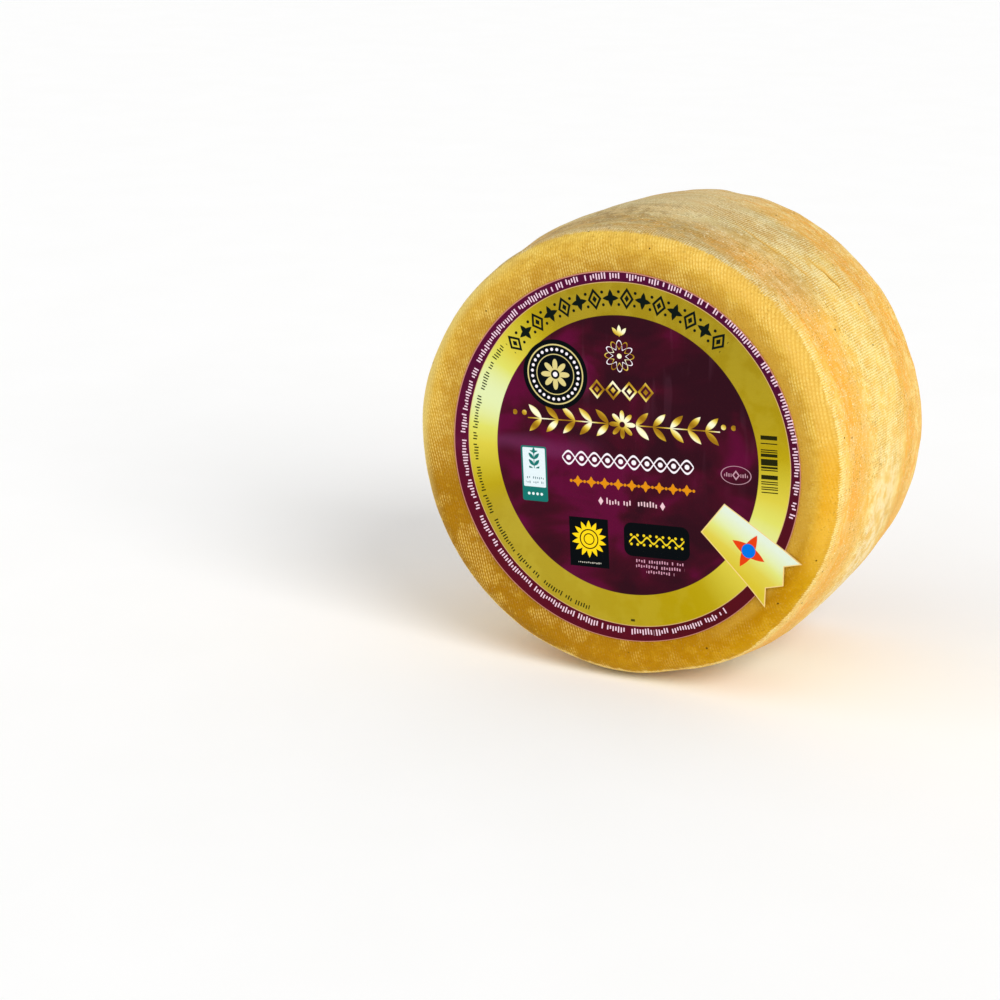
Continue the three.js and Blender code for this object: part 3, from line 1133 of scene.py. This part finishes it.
def print_ribbon(p):
    """The ribbon, with painted sheen: pale at its upper edge and deeper gold below; with a pale border,
    and on it four red leaves round a blue disc."""
    r = p.r
    start = RIBBON_START @ np.stack((unit(PRINT_TILT), unit(PRINT_TILT + 90)), axis=-1)
    forward, sideways = moved(p.u, p.v, start, RIBBON_HEADING - PRINT_TILT)
    side = abs(sideways)
    spread = (RIBBON_OUTER_HALF - RIBBON_INNER_HALF) / RIBBON_LENGTH
    from_edge = forward * spread + RIBBON_INNER_HALF - side
    tooth = RIBBON_OUTER_HALF / (RIBBON_POINTS - 1)
    end = r.sum("PINGPONG", side, tooth) * (-RIBBON_NOTCH / tooth) + RIBBON_LENGTH
    from_end = end - forward
    on_ribbon = r.both(r.above(from_edge, 0, 0.2), r.above(forward, 0, 0.2))
    # Painted sheen across the ribbon, pale at its upper edge
    shade = sideways / 24 + 0.5 + forward * -0.004
    gold = r.ramp(shade, [
        (0, 224, 202, 56), (0.24, 230, 214, 82), (0.42, 232, 236, 130),
        (0.56, 234, 245, 188), (0.75, 234, 247, 226),
    ])
    p.lay(on_ribbon, gold, 1)
    near_border = r.sum("MINIMUM", r.sum("MINIMUM", from_edge, forward), from_end * 0.8)
    p.lay(r.both(on_ribbon, r.below(near_border, 0.4, 0.2)), (240, 208, 132), 0.2)
    x, y = moved(forward, sideways, (19, 0.2), 10)
    p.lay(flower(r, x, y, 7.6, 2.3), (222, 62, 16))
    p.lay(disc(r, x, y, 2.9), (0, 112, 222))


def label_material():
    """Printed gold foil. Each mark is laid over what is already there, with its own colour and its own
    share of bare foil, and the film is slightly wavy."""
    r = Recipe("label_print", Specular_IOR_Level=0.03)
    place = r.space((PRINT_SPOT[0], FRONT, PRINT_SPOT[1]), turn=PRINT_TILT)
    u, _, v = r.parts(place)
    radius, angle = polar(r, u, v)
    p = Print(r, foil_ground(r, place, u, v, angle), u, v)
    gold_ink = gilding(r, u, v)
    print_burgundy(p, place, radius)
    print_rim_marks(p)
    print_title_border(p)
    print_bars(p)
    print_sprig(p, gold_ink)
    print_gold_rows(p, gold_ink)
    print_small_rows(p)
    print_panel(p)
    print_plates(p)
    print_oval(p)
    print_medal(p)
    print_ribbon(p)
    waves = r.noise(place, 6, 2, 0.5)
    weave = r.noise(place, 1.1, 1, 0.5)
    height = waves * 0.16 + weave * 0.012
    roughness = p.foil * 0.04 + 0.3
    metal = p.foil * 0.92
    return r.finish(Base_Color=p.colour, Metallic=metal, Roughness=roughness, Normal=r.bump(height))


# The stage

# The floor, in metres, and the strength of the sky
FLOOR_RADIUS = 6
FLOOR_RINGS = 20
FLOOR_COLUMNS = 96
SKY_STRENGTH = 0.64


def make_floor():
    """A pale flat sheet of rings that widen evenly from its middle."""
    radius = np.linspace(0.05, FLOOR_RADIUS, FLOOR_RINGS)[:, None]
    around = np.arange(FLOOR_COLUMNS) * 2 * np.pi / FLOOR_COLUMNS
    x = radius * np.cos(around)
    y = radius * np.sin(around)
    points = np.stack((x, y, 0 * x), axis=-1).reshape(-1, 3) / MM
    points = np.concatenate((np.zeros((1, 3)), points))
    faces = [face for face in ring_faces(FLOOR_RINGS, FLOOR_COLUMNS) if max(face) < len(points)]
    return make_piece("floor", points, faces, floor_material())


def floor_material():
    """Matt white paint with a faint mottle."""
    r = Recipe("floor_paint", Roughness=0.9, Specular_IOR_Level=0.1)
    mottle = r.noise(r.space(), 60, 2)
    return r.finish(Base_Color=r.mix(mottle, (250, 250, 249), (253, 253, 253)))


def add_lamp(name, direction, strength, softness):
    """A far, soft lamp that shines from a direction and fills this many degrees. A white sheet that
    faces it gets this strength of white from it."""
    data = bpy.data.lights.new(name, "SUN")
    data.energy = strength * math.pi
    data.angle = math.radians(softness)
    lamp = bpy.data.objects.new(name, data)
    lamp.rotation_euler = Vector(direction).to_track_quat("Z", "Y").to_euler()
    bpy.context.scene.collection.objects.link(lamp)


def add_lights():
    """A soft lamp high on the right, a weaker one on the left, and an even white sky."""
    add_lamp("key", (0.75, -0.45, 0.55), 0.6, 35)
    add_lamp("fill", (-0.6, -0.6, 0.6), 0.12, 60)
    world = bpy.data.worlds.new("sky")
    world.use_nodes = True
    sky = world.node_tree.nodes["Background"]
    sky.inputs["Color"].default_value = (1, 1, 1, 1)
    sky.inputs["Strength"].default_value = SKY_STRENGTH
    bpy.context.scene.world = world


# The camera stands to the right of the label, a little above it
CAMERA_SPOT = Vector((0.4003, -0.9157, 0.3579))
CAMERA_RIGHT = Vector((0.8851, 0.4654, 0.0015))
CAMERA_UP = Vector((-0.1337, 0.2513, 0.9586))
CAMERA_LENS = 90


def add_camera():
    """The camera, from its place and the directions of the picture's right and top."""
    data = bpy.data.cameras.new("camera")
    data.lens = CAMERA_LENS
    data.sensor_width = 36
    data.clip_end = 50
    camera = bpy.data.objects.new("camera", data)
    right = CAMERA_RIGHT.normalized()
    back = right.cross(CAMERA_UP).normalized()
    turned = Matrix((right, back.cross(right), back)).transposed().to_4x4()
    camera.matrix_world = Matrix.Translation(CAMERA_SPOT) @ turned
    bpy.context.scene.collection.objects.link(camera)
    bpy.context.scene.camera = camera


bpy.context.scene.view_settings.view_transform = "Standard"
add_camera()
rind = make_rind()
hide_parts("wheel")
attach(rind, "root")
label = make_label()
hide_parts("label")
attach(label, "root")
make_floor()
add_lights()
